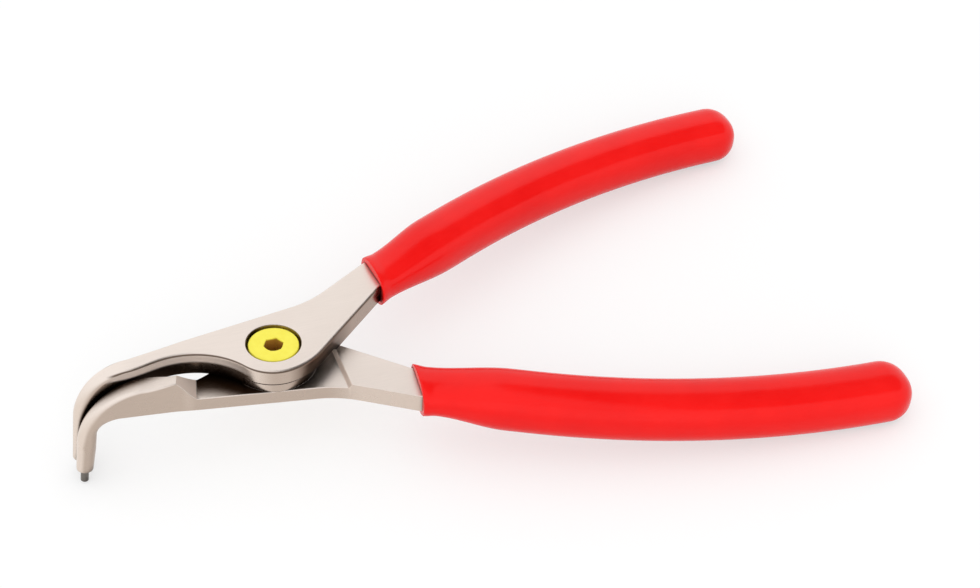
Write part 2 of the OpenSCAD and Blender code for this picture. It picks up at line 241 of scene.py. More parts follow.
def carve(piece: Solid, tool: Solid, how: Cut) -> None:
    """Applies a tool solid to a piece and removes the tool.

    Args:
        piece: The object that is changed.
        tool: The object that cuts it or is added to it.
        how: What the tool does.
    """
    step = piece.modifiers.new("carve", "BOOLEAN")
    step.operation = how.value
    step.solver = "EXACT"
    step.object = tool
    depsgraph = bpy.context.evaluated_depsgraph_get()
    result = bpy.data.meshes.new_from_object(piece.evaluated_get(depsgraph))
    piece.modifiers.clear()
    spent = [piece.data, tool.data]
    result.name = piece.name
    piece.data = result
    bpy.data.objects.remove(tool)
    for mesh in spent:
        bpy.data.meshes.remove(mesh)


def smooth(piece: Solid, crease: float = 32.0, weight: int = 80) -> None:
    """Shades a piece smooth, with its sharp edges kept and its flat faces flat.

    Args:
        piece: The object to shade.
        crease: Angle above which an edge stays sharp.
        weight: How much large faces count in the shading.
    """
    shell = bmesh.new()
    shell.from_mesh(piece.data)
    bmesh.ops.remove_doubles(shell, verts=shell.verts, dist=WELD * MM)
    bmesh.ops.dissolve_degenerate(shell, edges=shell.edges, dist=SLIVER * MM)
    for face in shell.faces:
        face.smooth = True
    for edge in shell.edges:
        edge.smooth = not edge.is_manifold or edge.calc_face_angle(0.0) < math.radians(crease)
    shell.to_mesh(piece.data)
    shell.free()
    weighted = piece.modifiers.new("even faces", "WEIGHTED_NORMAL")
    weighted.keep_sharp = True
    weighted.weight = weight


class Nodes:
    """A node tree under construction."""

    def __init__(self, tree: bpy.types.NodeTree) -> None:
        """Starts with the nodes that the tree has."""
        self.tree = tree

    def feed(self, socket: Socket, value: Feed) -> None:
        """Gives an input its value.

        Args:
            socket: The input.
            value: An output of another node, or a fixed value.
        """
        if isinstance(value, Socket):
            self.tree.links.new(value, socket)
        else:
            socket.default_value = (*value, 1.0) if isinstance(value, tuple) else value

    def node(self, kind: str, inputs: dict[str | int, Feed], **settings: object) -> bpy.types.Node:
        """Adds a node.

        Args:
            kind: The node's type name.
            inputs: Values of its inputs by name or number.
            **settings: Properties of the node.

        Returns:
            The new node.
        """
        made = self.tree.nodes.new(kind)
        for key, value in settings.items():
            setattr(made, key, value)
        for key, value in inputs.items():
            self.feed(made.inputs[key], value)
        return made

    def span(self, value: Socket, source: Span, target: Span = UP, soft: bool = False) -> Socket:
        """Maps one range of a value to another.

        Args:
            value: The value to map.
            source: Range of the value.
            target: Range of the result.
            soft: Whether the ends are eased.

        Returns:
            The mapped value.
        """
        names = ("Value", "From Min", "From Max", "To Min", "To Max")
        step = self.node("ShaderNodeMapRange", dict(zip(names, (value, *source, *target))),
                         interpolation_type="SMOOTHSTEP" if soft else "LINEAR")
        return step.outputs["Result"]

    def maths(self, operation: str, first: Socket, second: Socket | float = 0.0) -> Socket:
        """Calculates with one or two values."""
        return self.node("ShaderNodeMath", {0: first, 1: second}, operation=operation).outputs["Value"]

    def times(self, first: Socket, *others: Socket) -> Socket:
        """Multiplies values.

        Args:
            first: First value.
            *others: The other values.

        Returns:
            The product.
        """
        for other in others:
            first = self.maths("MULTIPLY", first, other)
        return first

    def blend(self, share: Socket, first: Socket | Colour, second: Socket | Colour) -> Socket:
        """Mixes two colours, with the share of the second one."""
        return self.node("ShaderNodeMix", {0: share, 6: first, 7: second}, data_type="RGBA").outputs[2]

    def between(self, share: Socket, first: Socket, second: Socket) -> Socket:
        """Mixes two values, with the share of the second one."""
        return self.node("ShaderNodeMix", {0: share, 2: first, 3: second}, data_type="FLOAT").outputs[0]


class Shader(Nodes):
    """A material's node tree under construction, with a principled surface."""

    def __init__(self, name: str) -> None:
        """Starts a material with only its surface and its output.

        Args:
            name: Name of the material.
        """
        self.material = bpy.data.materials.new(name)
        self.material.use_nodes = True
        super().__init__(self.material.node_tree)
        self.surface = self.tree.nodes["Principled BSDF"]

    def put(self, name: str, value: Feed) -> None:
        """Gives an input of the surface its value."""
        self.feed(self.surface.inputs[name], value)

    def own(self, kind: str) -> Socket:
        """One of the piece's own vectors."""
        return self.node("ShaderNodeTexCoord", {}).outputs[kind]

    def axes(self, vector: Socket) -> Axes:
        """Splits a vector into its values along X, Y and Z."""
        parts = self.node("ShaderNodeSeparateXYZ", {"Vector": vector})
        return {axis: parts.outputs[axis] for axis in "XYZ"}

    @cached_property
    def facing(self) -> Axes:
        """Direction that the surface faces."""
        return self.axes(self.own("Normal"))

    @cached_property
    def place(self) -> Axes:
        """Place on the piece in millimetres."""
        return self.axes(self.shade(self.own("Object"), 1 / MM))

    def noise(self, scale: Vector | float, detail: float = 3.0, roughness: float = 0.55) -> Socket:
        """Adds a noise in the piece's own coordinates.

        Args:
            scale: Number of features per metre, for all axes or for each.
            detail: Number of finer layers.
            roughness: Share of each finer layer.

        Returns:
            The noise's value.
        """
        scales = scale if isinstance(scale, Vector) else Vector((scale,) * 3)
        stretch = self.node("ShaderNodeMapping", {"Vector": self.own("Object"), "Scale": scales})
        cloud = self.node("ShaderNodeTexNoise", {"Vector": stretch.outputs["Vector"], "Scale": 1.0,
                                                 "Detail": detail, "Roughness": roughness})
        return cloud.outputs["Fac"]

    def openness(self, reach: float) -> Socket:
        """Value that is 1 in the open and less in corners, with what lies within a reach in millimetres."""
        return self.node("ShaderNodeAmbientOcclusion", {"Distance": reach * MM}, samples=16).outputs["AO"]

    def shade(self, colour: Socket, share: Socket | float) -> Socket:
        """Multiplies a colour or another vector by a value."""
        step = self.node("ShaderNodeVectorMath", {0: colour, "Scale": share}, operation="SCALE")
        return step.outputs["Vector"]

    def relief(self, height: Socket, depth: float, strength: float) -> None:
        """Gives the surface a fine relief with a depth in millimetres."""
        bump = self.node("ShaderNodeBump", {"Height": height, "Distance": depth * MM, "Strength": strength})
        self.put("Normal", bump.outputs["Normal"])


@dataclass(frozen=True)
class SatinPlate:
    """Satin nickel plate: light flats, painted shade on the walls that is lighter facing -X and darker facing
    +X, a painted dark reflection along the rounded top edges, a painted highlight high on the jaw's walls and
    painted shade in the corners.

    Spans whose names end in _x or _z are places, and those that end in _turn are values of the normal.
    """

    name: str = "satin_plate"
    # flat is the plate's own colour; the colours after it are painted light and shade: the walls in painted
    # shade, a painted highlight on walls facing -X, painted shade on walls facing +X, a painted dark
    # reflection along the rounded top edges and painted shade in the corners.
    flat: Colour = (0.90, 0.80, 0.73)
    lit_edge: Colour = (0.76, 0.645, 0.56)
    edge: Colour = (0.52, 0.42, 0.35)
    shaded_edge: Colour = (0.15, 0.10, 0.072)
    rim: Colour = (0.15, 0.105, 0.08)
    corner_shade: Colour = (0.024, 0.012, 0.006)
    flat_turn: Span = (0.25, 0.85)
    lit_turn: Span = (-0.7, -0.2)
    side_shade_turn: Span = (0.05, 0.5)
    side_shade_from_x: Span = (-10.0, -4.0)
    side_shade_to_x: Span = (13.0, 19.0)
    side_shade_least: Span = (0.2, 0.3)
    rim_from_turn: Span = (0.25, 0.45)
    rim_to_turn: Span = (0.72, 0.92)
    rim_z: Span = (3.3, 3.8)
    wall_highlight_open: Span = (0.72, 0.97)
    wall_highlight_to_x: Span = (-8.0, -4.0)
    corner_shade_reach: float = 9.0
    corner_shade_on_edges: Span = (0.56, 0.84)
    corner_shade_on_flats: Span = (0.1, 0.6)
    corner_shade_z: Span = (2.0, 2.7)
    corner_shade_x: Span = (-6.0, 8.0)
    corner_shade_share: Span = (2.5, 0.5)
    milled_x_turn: Span = (0.3, 0.5)
    milled_z_turn: Span = (0.35, 0.45)
    milled_z: Span = (2.5, 3.0)
    nub_from_x: Span = (-24.5, -24.0)
    nub_to_x: Span = (-16.0, -15.0)
    shoulder_x: Span = (12.0, 12.8)
    matte_rough: float = 0.55
    flat_rough: float = 0.34
    edge_rough: float = 0.27
    cloud_rough: Span = (-0.05, 0.06)
    tone: Span = (0.965, 1.025)
    cloud: float = 90.0
    grain: Vector = field(default_factory=lambda: Vector((220.0, 3200.0, 3200.0)))
    grain_depth: float = 0.02
    grain_strength: float = 0.08

    def side_shade(self, shader: Shader) -> Socket:
        """Share of the painted shade on the walls that face +X, towards the grips, strongest round the joint.
        """
        return shader.times(shader.span(shader.facing["X"], self.side_shade_turn, soft=True),
                            shader.span(shader.place["X"], self.side_shade_from_x, (self.side_shade_least[0], 1.0)),
                            shader.span(shader.place["X"], self.side_shade_to_x, (1.0, self.side_shade_least[1])))

    def rim_reflection(self, shader: Shader) -> Socket:
        """Share of the painted dark reflection along the rounded top edges."""
        return shader.times(shader.span(shader.facing["Z"], self.rim_from_turn),
                            shader.span(shader.facing["Z"], self.rim_to_turn, DOWN),
                            shader.span(shader.place["Z"], self.rim_z))

    def milled(self, shader: Shader) -> Socket:
        """Share of the matte finish on the slopes of the nub and the shoulder, which also keeps the painted
        corner shade off them.

        Args:
            shader: The material's tree.

        Returns:
            The share.
        """
        facing, place = shader.facing, shader.place
        nub = shader.times(shader.span(place["X"], self.nub_from_x),
                           shader.span(place["X"], self.nub_to_x, DOWN))
        where = shader.maths("MAXIMUM", nub, shader.span(place["X"], self.shoulder_x))
        return shader.times(shader.span(shader.maths("ABSOLUTE", facing["X"]), self.milled_x_turn),
                            shader.span(facing["Z"], self.milled_z_turn), where,
                            shader.span(place["Z"], self.milled_z, DOWN))

    def material(self) -> Finish:
        """Builds the material.

        Returns:
            The material.
        """
        shader = Shader(self.name)
        facing, place = shader.facing, shader.place
        # Share of the flats, which keep the plate's own colour; the walls get painted shade instead.
        flatness = shader.span(shader.maths("ABSOLUTE", facing["Z"]), self.flat_turn, soft=True)
        level = shader.span(place["Z"], self.corner_shade_z, soft=True)
        open_sky = shader.openness(self.corner_shade_reach)
        # Painted highlight: a light band on the upper part of the jaw's walls, where other parts lie near, in
        # the flats' colour.
        wall_highlight = shader.times(shader.span(open_sky, self.wall_highlight_open, DOWN),
                            shader.span(place["X"], self.wall_highlight_to_x, DOWN), level,
                            shader.span(flatness, UP, DOWN))
        # Painted light: walls facing -X get a painted highlight and walls facing +X painted shade.
        bright = shader.span(facing["X"], self.lit_turn, DOWN, soft=True)
        edge = shader.blend(self.side_shade(shader),
                            shader.blend(bright, self.edge, self.lit_edge), self.shaded_edge)
        edge = shader.blend(wall_highlight, edge, self.flat)
        cloud = shader.noise(self.cloud, detail=4.0)
        grain = shader.noise(self.grain, detail=2.0)
        # Flats keep the plate's own colour, walls take the painted wall shade and the rounded top edges a
        # painted dark reflection.
        metal = shader.blend(self.rim_reflection(shader), shader.blend(flatness, edge, self.flat), self.rim)
        metal = shader.shade(metal, shader.span(shader.maths("ADD", cloud, grain), TWO_NOISES, self.tone))
        # Painted shade: the lower parts of the walls and the flats near other parts darken towards dark brown
        # as they are closed in, more on the jaw's side than towards the grips.
        on_edges = shader.maths("MAXIMUM", level, shader.span(open_sky, self.corner_shade_on_edges, soft=True))
        closed = shader.times(shader.span(open_sky, UP, DOWN),
                              shader.span(place["X"], self.corner_shade_x, self.corner_shade_share))
        on_flats = shader.span(closed, self.corner_shade_on_flats, DOWN, soft=True)
        milled = self.milled(shader)
        unshaded = shader.maths("MAXIMUM", shader.between(flatness, on_edges, on_flats), milled)
        shader.put("Base Color", shader.blend(unshaded, self.corner_shade, metal))
        matte = shader.span(shader.maths("MAXIMUM", milled, wall_highlight), UP, (0.0, self.matte_rough))
        rough = shader.span(flatness, UP, (self.edge_rough, self.flat_rough))
        rough = shader.maths("ADD", rough, matte)
        shader.put("Roughness", shader.maths("ADD", rough, shader.span(cloud, NOISE, self.cloud_rough)))
        shader.put("Metallic", 1.0)
        shader.relief(grain, self.grain_depth, self.grain_strength)
        return shader.material


@dataclass(frozen=True)
class DarkSteel:
    """Hardened uncoated steel with fine turning marks."""

    name: str
    pale: Colour = (0.22, 0.20, 0.18)
    dark: Colour = (0.10, 0.09, 0.08)
    rough: Span = (0.14, 0.24)
    cloud: Vector = field(default_factory=lambda: Vector((900.0, 900.0, 500.0)))
    marks: Vector = field(default_factory=lambda: Vector((600.0, 600.0, 5200.0)))
    mark_depth: float = 0.01
    mark_strength: float = 0.3

    def material(self) -> Finish:
        """Builds the material.

        Returns:
            The material.
        """
        shader = Shader(self.name)
        marks = shader.noise(self.marks, detail=1.0)
        cloud = shader.span(shader.noise(self.cloud), NOISE)
        shader.put("Base Color", shader.blend(cloud, self.dark, self.pale))
        shader.put("Roughness", shader.span(marks, NOISE, self.rough))
        shader.put("Metallic", 1.0)
        shader.relief(marks, self.mark_depth, self.mark_strength)
        return shader.material


@dataclass(frozen=True)
class DippedPvc:
    """Soft red PVC with a glossy skin, a fine grain, faint flow marks and painted shade along its mouth."""

    name: str = "dipped_pvc"
    deep: Colour = (0.84, 0.002, 0.0015)
    bright: Colour = (0.92, 0.005, 0.0035)
    rough: Span = (0.18, 0.27)
    mouth_shade: Colour = (0.16, 0.004, 0.003)
    mouth_shade_reach: float = 1.6
    mouth_shade_open: Span = (0.45, 0.85)
    mouth_shade_rough: float = 0.5
    flow: float = 70.0
    flow_height: float = 3.0
    grain: float = 2600.0
    grain_depth: float = 0.03
    grain_strength: float = 0.22
    sheen: float = 0.26

    def material(self) -> Finish:
        """Builds the material.

        Returns:
            The material.
        """
        shader = Shader(self.name)
        flow = shader.noise(self.flow, detail=4.0, roughness=0.6)
        grain = shader.noise(self.grain, detail=2.0)
        skin_tone = shader.blend(shader.span(flow, NOISE), self.deep, self.bright)
        # Painted shade: the sleeve darkens along its mouth, where the metal lies close.
        unshaded = shader.span(shader.openness(self.mouth_shade_reach), self.mouth_shade_open, soft=True)
        shader.put("Base Color", shader.blend(unshaded, self.mouth_shade, skin_tone))
        rough = shader.span(shader.maths("ADD", flow, grain), TWO_NOISES, self.rough)
        rough_in_shade = shader.span(unshaded, UP, (self.mouth_shade_rough, 0.0))
        shader.put("Roughness", shader.maths("ADD", rough, rough_in_shade))
        waves = shader.span(flow, UP, (0.0, self.flow_height))
        shader.relief(shader.maths("ADD", waves, grain), self.grain_depth, self.grain_strength)
        shader.put("Specular IOR Level", self.sheen)
        return shader.material


@dataclass(frozen=True)
class YellowLacquer:
    """Yellow lacquer on the screw, in patchy tones, and dark brown down in the socket."""

    name: str = "yellow_lacquer"
    paint: Colour = (0.97, 0.88, 0.09)
    thin: Colour = (0.93, 0.82, 0.06)
    socket_brown: Colour = (0.42, 0.20, 0.03)
    rough: Span = (0.30, 0.44)
    socket_r: Span = (2.25, 2.55)
    socket_z: Span = (3.65, 4.15)
    cloud: float = 520.0
    grain: float = 4200.0
    grain_depth: float = 0.01
    grain_strength: float = 0.2

    def material(self) -> Finish:
        """Builds the material.

        Returns:
            The material.
        """
        shader = Shader(self.name)
        cloud = shader.noise(self.cloud)
        grain = shader.noise(self.grain, detail=2.0)
        place = shader.place
        squares = [shader.times(place[axis], place[axis]) for axis in "XY"]
        reach = shader.maths("SQRT", shader.maths("ADD", *squares))
        # Dark brown down in the socket and on its bevel.
        socket = shader.times(shader.span(place["Z"], self.socket_z, DOWN, soft=True),
                              shader.span(reach, self.socket_r, DOWN))
        coat = shader.blend(shader.span(cloud, NOISE), self.thin, self.paint)
        shader.put("Base Color", shader.blend(socket, coat, self.socket_brown))
        shader.put("Roughness", shader.span(cloud, NOISE, self.rough))
        shader.relief(grain, self.grain_depth, self.grain_strength)
        return shader.material


@dataclass(frozen=True)
class HandleLine:
    """Middle line of a handle in plan: straight from the pivot, then a long bow."""

    angle: float = 26.0
    offset: float = 2.6
    straight: float = 58.0
    bow_r: float = 195.0
    bow_angle: float = 24.0
    past: float = 3.0

    @property
    def bow_l(self) -> float:
        """Length of the bow."""
        return self.bow_r * math.radians(self.bow_angle)

    @property
    def length(self) -> float:
        """Whole length from the pivot."""
        return self.straight + self.bow_l + self.past

    @property
    def bow_start(self) -> Vector:
        """Point where the bow starts."""
        return self.straight * ahead(self.angle) + self.offset * left(self.angle)

    @property
    def bow_centre(self) -> Vector:
        """Centre of the bow."""
        return self.bow_start - self.bow_r * left(self.angle)

    def heading(self, s: float) -> float:
        """Direction of the line at length s from the pivot."""
        return self.angle - self.bow_angle * max(0.0, min(1.0, (s - self.straight) / self.bow_l))

    def point(self, s: float) -> Vector:
        """Point of the line.

        Args:
            s: Length from the pivot.

        Returns:
            The point in plan.
        """
        if s <= self.straight:
            return self.bow_start + (s - self.straight) * ahead(self.angle)
        over = max(0.0, s - self.straight - self.bow_l)
        heading = self.heading(s)
        return self.bow_centre + self.bow_r * left(heading) + over * ahead(heading)

    def side_y(self, x: float, v: float) -> float:
        """Y at x of the line that runs beside this one.

        Args:
            x: Distance from the pivot along X.
            v: Distance to the left of the middle line.

        Returns:
            The line's Y.
        """
        bend = self.bow_start + v * left(self.angle)
        if x <= bend.x:
            return line_y(self.angle, self.offset + v, x)
        return self.bow_centre.y + math.sqrt((self.bow_r + v) ** 2 - (x - self.bow_centre.x) ** 2)


@dataclass(frozen=True)
class LeverPlan:
    """Outline of a lever in plan, with Y towards the lever's own grip."""

    line: HandleLine = HandleLine()
    boss_r: float = 9.6
    jaw_taper: float = 9.1
    eye_half: float = 2.0
    eye_r: float = 17.0
    close_x: float = 21.97
    nip_x: float = 34.5
    nip_gap: float = 0.1
    tang_w: float = 9.0
    tang_out_angle: float = 31.5
    tang_out_off: float = 3.85
    tang_in_angle: float = 42.5
    tang_in_off: float = 10.4
    back_r: float = 24.0
    swell_from: float = -80.0

    @property
    def back_centre(self) -> Vector:
        """Centre of the hollow between the jaw's outer edge and the tang."""
        turn = self.tang_out_angle - self.jaw_taper
        along = (self.tang_out_off - self.boss_r * cos(turn)) / -sin(turn)
        corner = along * ahead(self.jaw_taper) + self.boss_r * left(self.jaw_taper)
        return corner + self.back_r / cos(turn / 2) * left((self.tang_out_angle + self.jaw_taper) / 2)

    @property
    def swell_r(self) -> float:
        """Radius of the swell between the boss and the tang's inner edge."""
        share = cos(self.tang_in_angle - 90 - self.swell_from)
        return (self.tang_in_off - share * self.boss_r) / (1 - share)

    @property
    def eye_centre(self) -> Vector:
        """Centre of the hollow between the boss and the jaw."""
        y = self.eye_half - self.eye_r
        return Vector((-math.sqrt((self.boss_r + self.eye_r) ** 2 - y * y), y))

    def jaw_y(self, x: float) -> float:
        """Outer edge of the jaw at x."""
        return line_y(self.jaw_taper, self.boss_r, x)

    def eye_y(self, x: float) -> float:
        """Inner edge of the jaw, from the boss to the nip.

        Args:
            x: Distance from the pivot along X.

        Returns:
            The edge's Y.
        """
        centre = self.eye_centre
        hollow = centre.y + math.sqrt(self.eye_r ** 2 - max(0.0, x - centre.x) ** 2)
        return mix(hollow, self.nip_gap, ease((-self.close_x - x) / (self.nip_x - self.close_x)))

    def outer_y(self, x: float) -> float:
        """Outer edge of the lever, from the jaw to the tang.

        Args:
            x: Distance from the pivot along X.

        Returns:
            The edge's Y.
        """
        hollow = self.back_centre
        if x <= hollow.x + self.back_r * sin(self.jaw_taper):
            return self.jaw_y(x)
        if x <= hollow.x + self.back_r * sin(self.tang_out_angle):
            return hollow.y - math.sqrt(self.back_r ** 2 - (x - hollow.x) ** 2)
        return min(line_y(self.tang_out_angle, self.tang_out_off, x), self.line.side_y(x, self.tang_w / 2))

    def inner_y(self, x: float) -> float:
        """Inner edge of the lever, from the jaw to the tang.

        Args:
            x: Distance from the pivot along X.

        Returns:
            The edge's Y.
        """
        swell = (self.boss_r - self.swell_r) * ahead(self.swell_from)
        if x >= swell.x + self.swell_r * sin(self.tang_in_angle):
            straight = line_y(self.tang_in_angle, -self.tang_in_off, x)
            return min(straight, self.line.side_y(x, -self.tang_w / 2))
        if x >= self.boss_r * cos(self.swell_from):
            return swell.y - math.sqrt(self.swell_r ** 2 - (x - swell.x) ** 2)
        centre = self.eye_centre
        if x >= centre.x * self.boss_r / (self.boss_r + self.eye_r):
            return -math.sqrt(self.boss_r ** 2 - x * x)
        return self.eye_y(x)


@dataclass(frozen=True)
class Station:
    """A cross-section of a lever: its outer and inner point in X and Z, its sides in Y and its corner radii.

    The corners are the inner top, outer top, outer bottom and inner bottom one. The bevel moves the outer
    top corner in, so that the outer side leans. The skew moves the inner side along X.
    """

    outer: Span
    inner: Span
    near: float
    far: float
    soft: Corners
    bevel: float = 0.0
    skew: float = 0.0
    steps: int = 5
    least: float = 0.04
    most: float = 0.97

    def ring(self, sign: int) -> Ring:
        """Points round the section.

        Args:
            sign: -1 to mirror the section in Y.

        Returns:
            The points in order.
        """
        height = math.hypot(self.outer[0] - self.inner[0], self.outer[1] - self.inner[1])
        width = self.far - self.near
        limit = min(height, width) / 2 * self.most
        points = []
        for corner, radius in enumerate(self.soft):
            radius = max(self.least, min(limit, radius))
            inset = self.bevel if corner == 1 else 0.0
            for i in range(self.steps + 1):
                turn = 90 * i / self.steps + 90 * corner
                v = (radius if corner in (0, 3) else width - radius - inset) - radius * cos(turn)
                u = (height - radius if corner < 2 else radius) + radius * sin(turn)
                x = mix(self.inner[0], self.outer[0], u / height) + self.skew * (1 - v / width)
                z = mix(self.inner[1], self.outer[1], u / height)
                points.append(Vector((x, sign * (self.near + v), z)))
        return points


@dataclass(frozen=True)
class Leg:
    """The straight end of a bent nose, in the plane of X and Z."""

    bend_angle: float = 85.0
    x: float = 44.75
    ref_z: float = 10.0
    top_d: float = 4.2
    end_d: float = 3.7
    end_z: float = 18.9
    soft: Corners = (0.95, 0.97, 0.95, 0.7)
    least: float = 0.1
    edge: float = 0.15
    edge_turns: tuple[int, ...] = (25, 50, 70, 90)
    steps: int = 8

    @property
    def lean(self) -> float:
        """Angle of the leg to the vertical."""
        return 90 - self.bend_angle

    @property
    def down(self) -> Vector:
        """Direction along the leg."""
        return Vector((-sin(self.lean), -cos(self.lean)))

    @property
    def inward(self) -> Vector:
        """Direction from the leg's outer side to its inner side."""
        return Vector((cos(self.lean), -sin(self.lean)))

    @property
    def point(self) -> Vector:
        """A point on the leg's outer side."""
        return Vector((-self.x, -self.ref_z))

    @property
    def end(self) -> Vector:
        """End of the leg's outer side."""
        return self.point + (self.end_z - self.ref_z) / cos(self.lean) * self.down

    def bend_centre(self, radius: float, level: float, inset: float) -> Vector:
        """Centre of a bend that touches a level and the leg.

        Args:
            radius: Radius of the bend.
            level: Height of the level that it touches.
            inset: Distance of the touched line from the leg's outer side.

        Returns:
            The centre in X and Z.
        """
        p = self.point + inset * self.inward
        x = p.x + (radius + sin(self.lean) * (level - radius - p.y)) / cos(self.lean)
        return Vector((x, level - radius))

    def stations(self, top: Vector, gap: float) -> list[Station]:
        """Sections of the leg, with a softened edge at its end.

        Args:
            top: Point on the leg's outer side where the bend ends.
            gap: Distance of the leg's inner face from the middle plane.

        Returns:
            The sections.
        """
        length = (self.end - top).length
        places = [(length * t * (1 - self.edge / length), 0.0) for t in shares(self.steps)]
        places += [(length - self.edge * (1 - sin(a)), self.edge * (1 - cos(a))) for a in self.edge_turns]
        stations = []
        for s, inset in places:
            d = mix(self.top_d, self.end_d, s / length)
            o = top + s * self.down
            soft = tuple(max(self.least, share * d / 2 - inset) for share in self.soft)
            stations.append(Station(tuple(o + inset * self.inward), tuple(o + (d - inset) * self.inward),
                                    gap + inset, gap + d - inset, soft))
        return stations


@dataclass(frozen=True)
class TipBore:
    """Bore in a leg's end that holds the tip pin's shank."""

    radius: float = 1.32
    depth: float = 7.02

    def tool(self, leg: Leg, plan: LeverPlan, sign: int) -> Solid:
        """Makes the tool that cuts the bore.

        Args:
            leg: The leg that is bored.
            plan: The lever's outline.
            sign: Side of the leg in Y.

        Returns:
            The tool.
        """
        end = leg.end + leg.end_d / 2 * leg.inward
        place = (Matrix.Translation((end.x, sign * (plan.nip_gap + leg.end_d / 2), end.y))
                 @ Matrix.Rotation(math.radians(180 + leg.lean), 4, "Y"))
        return rod("tip bore", self.radius, (-self.depth, OVER), sides=40, place=place)


@dataclass
class Lever:
    """A lever from its tang to the end of its bent nose.

    The plate runs to nose_x, a ramp leads up to the nose, the nose runs straight and bends into the leg.
    """

    side: Side
    bend_r: float
    inner_r: float
    nose_top: float
    nose_fall: float
    nose_low: float
    nose_soft: Corners
    plate_soft: Corners
    plan: LeverPlan = LeverPlan()
    nose_bevel: float = 0.0
    bevel_l: float = 7.4
    ridge: float = 1.0
    ramp_skew: float = 0.0
    skew_from: float = -11.0
    ramp_power: float = 1.1
    leg: Leg = Leg()
    bore: TipBore = TipBore()
    thick: float = 4.6
    lap: float = 1.1
    gap: float = 0.05
    shoulder: float = 13.2
    shoulder_l: float = 0.9
    nose_x: float = 18.8
    ramp_l: float = 4.6
    tang_x: float = 101.0
    fine_x: float = 44.0
    tang_pitch: float = 3.0
    arm_pitch: float = 0.8
    slope_pitch: float = 0.14
    joint_pitch: float = 0.45
    split: float = 0.001
    ramp_steps: int = 12
    nose_steps: int = 14
    bend_steps: int = 32
    wire_hole_r: float = 0.55
    piece: Solid | None = None

    def levels(self, x: float) -> tuple[float, float]:
        """Top and bottom of the plate at x."""
        raise NotImplementedError

    def tools(self) -> list[Tool]:
        """Tools that shape the joint."""
        raise NotImplementedError

    def plate(self) -> list[Station]:
        """Sections from the tang's end to the foot of the nose.

        Returns:
            The sections.
        """
        slope = self.shoulder + self.shoulder_l
        places = (spaced(self.tang_x, self.fine_x, self.tang_pitch)
                  + spaced(self.fine_x, slope, self.arm_pitch)
                  + spaced(slope, self.shoulder, self.slope_pitch)
                  + spaced(self.shoulder, self.split, self.joint_pitch) + [self.split]
                  + spaced(-self.split, -self.nose_x, self.joint_pitch))
        stations = []
        for x in places:
            top, low = self.levels(x)
            skew = self.ramp_skew * ease((self.skew_from - x) / (self.skew_from + self.nose_x))
            stations.append(Station((x, top), (x, low), self.plan.inner_y(x + skew), self.plan.outer_y(x),
                                    self.plate_soft, skew=skew))
        return stations

    def ramp(self, end: float) -> list[Station]:
        """Sections of the ramp from the plate up to the nose.

        Args:
            end: X at which the ramp ends.

        Returns:
            The sections.
        """
        foot_top, foot_low = self.levels(-self.nose_x)
        stations = []
        for t in [0.0] + shares(self.ramp_steps):
            x = mix(-self.nose_x, end, t)
            stations.append(Station((x, mix(foot_top, self.nose_top, t ** self.ramp_power)),
                                    (x, mix(foot_low, self.nose_low, t)),
                                    self.plan.eye_y(x + self.ramp_skew), self.plan.jaw_y(x),
                                    mixed(self.plate_soft, self.ridge_soft(0), t),
                                    self.nose_bevel * ease(t), self.ramp_skew))
        return stations

    def ridge_soft(self, run: float) -> Corners:
        """Corner radii of the nose at a share of its ridge, where the outer top one starts crisp."""
        inner_top, outer_top, *low = self.nose_soft
        return (inner_top, outer_top * mix(self.ridge, 1, run), *low)

    def straight(self, start: float, outer_x: float, inner_x: float) -> list[Station]:
        """Sections of the straight nose.

        Args:
            start: X at which it starts.
            outer_x: X at which its outer side starts to bend.
            inner_x: X at which its inner side starts to bend.

        Returns:
            The sections.
        """
        stations = []
        for t in shares(self.nose_steps):
            xo, xi = mix(start, outer_x, t), mix(start, inner_x, t)
            x = (xo + xi) / 2
            run = min(1.0, (start - xo) / self.bevel_l)
            skew = self.ramp_skew * (1 - ease(t))
            stations.append(Station((xo, self.nose_top - self.nose_fall * ease(t)), (xi, self.nose_low),
                                    self.plan.eye_y(x + skew), self.plan.jaw_y(x), self.ridge_soft(run),
                                    self.nose_bevel * (1 - run) ** 2, skew))
        return stations

    def bend(self, outer: Vector, inner: Vector) -> list[Station]:
        """Sections of the bend.

        Args:
            outer: Centre of the outer side's bend.
            inner: Centre of the inner side's bend.

        Returns:
            The sections.
        """
        plan, leg = self.plan, self.leg
        start = (outer.x + inner.x) / 2
        round_leg = tuple(share * leg.top_d / 2 for share in leg.soft)
        stations = []
        for t in shares(self.bend_steps):
            turn, e = mix(90, 90 + leg.bend_angle, t), ease(t)
            stations.append(Station(tuple(outer + self.bend_r * ahead(turn)),
                                    tuple(inner + self.inner_r * ahead(turn)),
                                    mix(plan.eye_y(start), plan.nip_gap, e),
                                    mix(plan.jaw_y(start), plan.nip_gap + leg.top_d, e),
                                    mixed(self.nose_soft, round_leg, e)))
        return stations

    def nose(self) -> list[Station]:
        """Sections from the foot of the nose to the end of the leg.

        Returns:
            The sections.
        """
        outer = self.leg.bend_centre(self.bend_r, self.nose_top - self.nose_fall, 0)
        inner = self.leg.bend_centre(self.inner_r, self.nose_low, self.leg.top_d)
        start = -self.nose_x - self.ramp_l
        top = outer + self.bend_r * ahead(90 + self.leg.bend_angle)
        return (self.ramp(start) + self.straight(start, outer.x, inner.x) + self.bend(outer, inner)
                + self.leg.stations(top, self.plan.nip_gap))

    def wire_tool(self, at: Span, ends: Span) -> Tool:
        """Tool for the hole that holds an end of the spring, at a place in plan and between two heights."""
        hole = rod("wire hole", self.wire_hole_r, ends, sides=24, place=Matrix.Translation((*at, 0)))
        return hole, Cut.REMOVE

